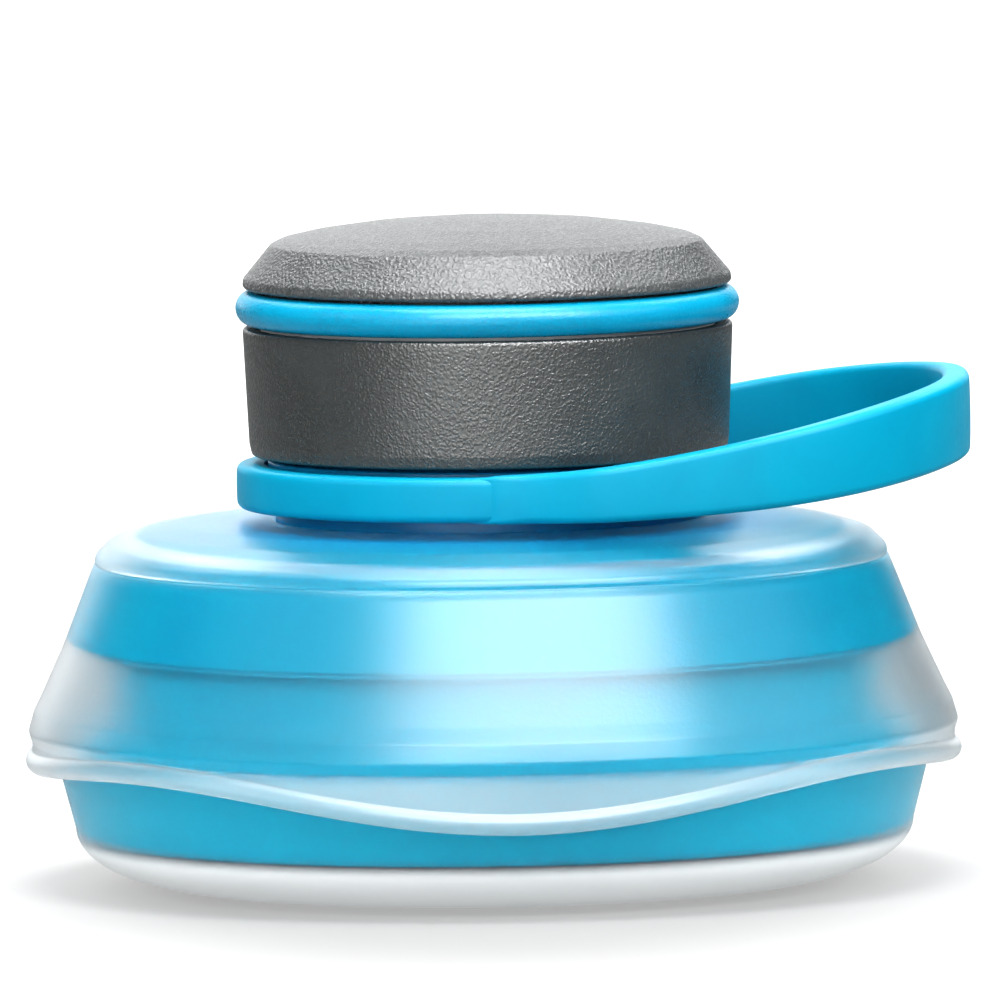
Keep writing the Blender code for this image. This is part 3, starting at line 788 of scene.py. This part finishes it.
loop_mesh.from_pydata([(x * MM, y * MM, z * MM) for x, y, z in verts], [], faces)
tidy(loop_mesh)
loop_mesh.set_sharp_from_angle(angle=math.radians(50))
carry_loop = bpy.data.objects.new("carry_loop_looks", loop_mesh)
pieces.objects.link(carry_loop)
carry_loop.data.materials.append(m_strap.mat)
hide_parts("carry_loop")
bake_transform(carry_loop, "ring", "loop", start=(-0.001, 0, 0.0384), end=(0.015, 0, 0.0384))
bend = ease((np.array([v.co.x for v in loop_mesh.vertices]) / MM + 1.5) / 17.0)      # eased at both ends of the bend
loop_mesh.attributes["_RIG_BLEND"].data.foreach_set("value", bend.astype(np.float32))

# ================================================================ cap
skirt_profile = rounded([
    (22.2, 41.45, 0.2), (22.2, 53.5, 0.2), (23.55, 53.5, 0.42), (23.05, 42.4, 0.9), (22.82, 41.35, 0.35),
    (22.4, 41.15, 0.2)])
skirt = revolve("cap_skirt_looks", dense(skirt_profile, 0.8), 176)
dress(skirt, m_skirt_shaded_copy, "cap", "cap_grain", "cap_outer_skirt")


def liner_thread(co):
    r = np.hypot(co[:, 0], co[:, 1])
    a = np.arctan2(co[:, 1], co[:, 0]) % TAU
    h = thread_height(a, co[:, 2], 41.6, math.radians(75.0)) * (r < 21.2)
    scale = (r - 0.74 * h) / r
    out = co.copy()
    out[:, 0] *= scale
    out[:, 1] *= scale
    return out


liner_profile = rounded([
    (20.95, 41.4, 0.25), (20.95, 55.5, 0.1), (21.9, 55.5, 0.3), (21.9, 41.4, 0.25)])
liner = revolve("cap_liner_looks", dense(liner_profile, 0.22), 160, liner_thread)
dress(liner, m_liner, "cap", "cap_liner", "cap_threaded_liner")

disc_profile = [(0.0, 55.5), (6.0, 55.5)] + rounded([
    (12.0, 55.5, 0), (20.6, 55.5, 0.3), (20.6, 54.25, 0.3), (17.2, 54.25, 0.2), (16.9, 54.45, 0.2), (3.2, 54.45, 0.2),
    (2.8, 54.25, 0.2), (1.0, 54.25, 0)], closed=False) + [(0.0, 54.25)]
disc = revolve("cap_disc_looks", dense(disc_profile, 1.0), 128)
dress(disc, m_disc, "cap", "cap_liner", "cap_sealing_disc")

accent_profile = (rounded([(22.2, 53.9, 0.2), (22.2, 56.9, 0.2), (22.5, 57.0, 0.1)], closed=False)
                  + arc(22.75, 55.4, 1.45, 1.6, 88, -88, 26) + [(22.5, 53.8)])
accent = revolve("cap_accent_looks", accent_profile, 176)
dress(accent, m_accent, "cap", "cap_accent", "cap_accent_ring")

dome_profile = ([(0.0, 63.85), (3.0, 63.82)] + rounded([
    (6.0, 63.72, 12), (12.0, 63.25, 14), (17.0, 62.55, 12), (19.7, 61.95, 1.6), (20.75, 61.45, 0.7),
    (23.4, 58.25, 0.7), (23.5, 57.55, 0.35), (23.25, 57.28, 0.2), (22.0, 57.3, 0.1),
    (21.9, 55.8, 0.15), (20.5, 55.8, 0.15), (20.5, 58.9, 0.6), (18.6, 60.3, 2), (12.0, 61.5, 6)], closed=False)
    + [(3.0, 61.98), (0.0, 62.0)])
dome = revolve("cap_dome_looks", dense(dome_profile, 0.8), 176)
dress(dome, m_dome_lit_copy, "cap", "cap_grain", "cap_domed_top")

gasket_profile = rounded([(17.65, 53.0, 0.3), (17.65, 53.95, 0.3), (20.55, 53.95, 0.3), (20.55, 53.0, 0.3)])
gasket = revolve("cap_gasket_looks", dense(gasket_profile, 0.8), 128)
dress(gasket, m_gasket, "cap_lift", "gasket", "cap_gasket")

# ================================================================ floor
floor_mesh = bpy.data.meshes.new("studio_floor")
bm = bmesh.new()
bmesh.ops.create_circle(bm, cap_ends=True, segments=96, radius=6.5)
bm.to_mesh(floor_mesh)
bm.free()
floor = bpy.data.objects.new("studio_floor", floor_mesh)
floor.location = (0, 0, -0.0002)
scene.collection.objects.link(floor)
t = Tree("studio_floor_paper")
sheet_noise = t.noise(40.0, 2.0, 0.5)
t.link(t.mix(sheet_noise, (0.150, 0.150, 0.150), (0.158, 0.158, 0.158)), t.shader.inputs["Base Color"])
t.put("Roughness", 0.9)
t.put("Specular IOR Level", 0.0)
t.put("Emission Color", (1, 1, 1, 1))
seen = t.node("ShaderNodeLightPath")
far = t.node("ShaderNodeVectorMath", operation='LENGTH')
t.link(t.coord.outputs["Object"], far.inputs[0])
# painted shadow: the paper's glow seen by the camera is weakest in an oval in front of the foot and rises farther out,
# drawing the soft shadow there
oval = t.node("ShaderNodeVectorMath", operation='MULTIPLY_ADD')
t.link(t.coord.outputs["Object"], oval.inputs[0])
oval.inputs[1].default_value = (1.8, 1.0, 1.0)
oval.inputs[2].default_value = (0.0, 0.012, 0.0)
near = t.node("ShaderNodeVectorMath", operation='LENGTH')
t.link(oval.outputs[0], near.inputs[0])
seen_glow_with_painted_shadow = t.math('ADD', t.span(near.outputs["Value"], 0.045, 0.115, 0.32, 0.70, smooth=True),
                   t.span(far.outputs["Value"], 0.15, 0.8, 0.0, 0.30, smooth=True))
# painted bounce light: for all other rays the paper glows near the foot and lights the bottle's lower part like a lamp
painted_bounce_glow = t.span(far.outputs["Value"], 0.05, 0.14, 0.38, 0.0, smooth=True)
t.link(t.math('ADD', t.math('MULTIPLY', seen.outputs["Is Camera Ray"], seen_glow_with_painted_shadow),
              t.math('MULTIPLY', t.math('SUBTRACT', 1.0, seen.outputs["Is Camera Ray"]), painted_bounce_glow)),
       t.shader.inputs["Emission Strength"])
floor.data.materials.append(t.mat)
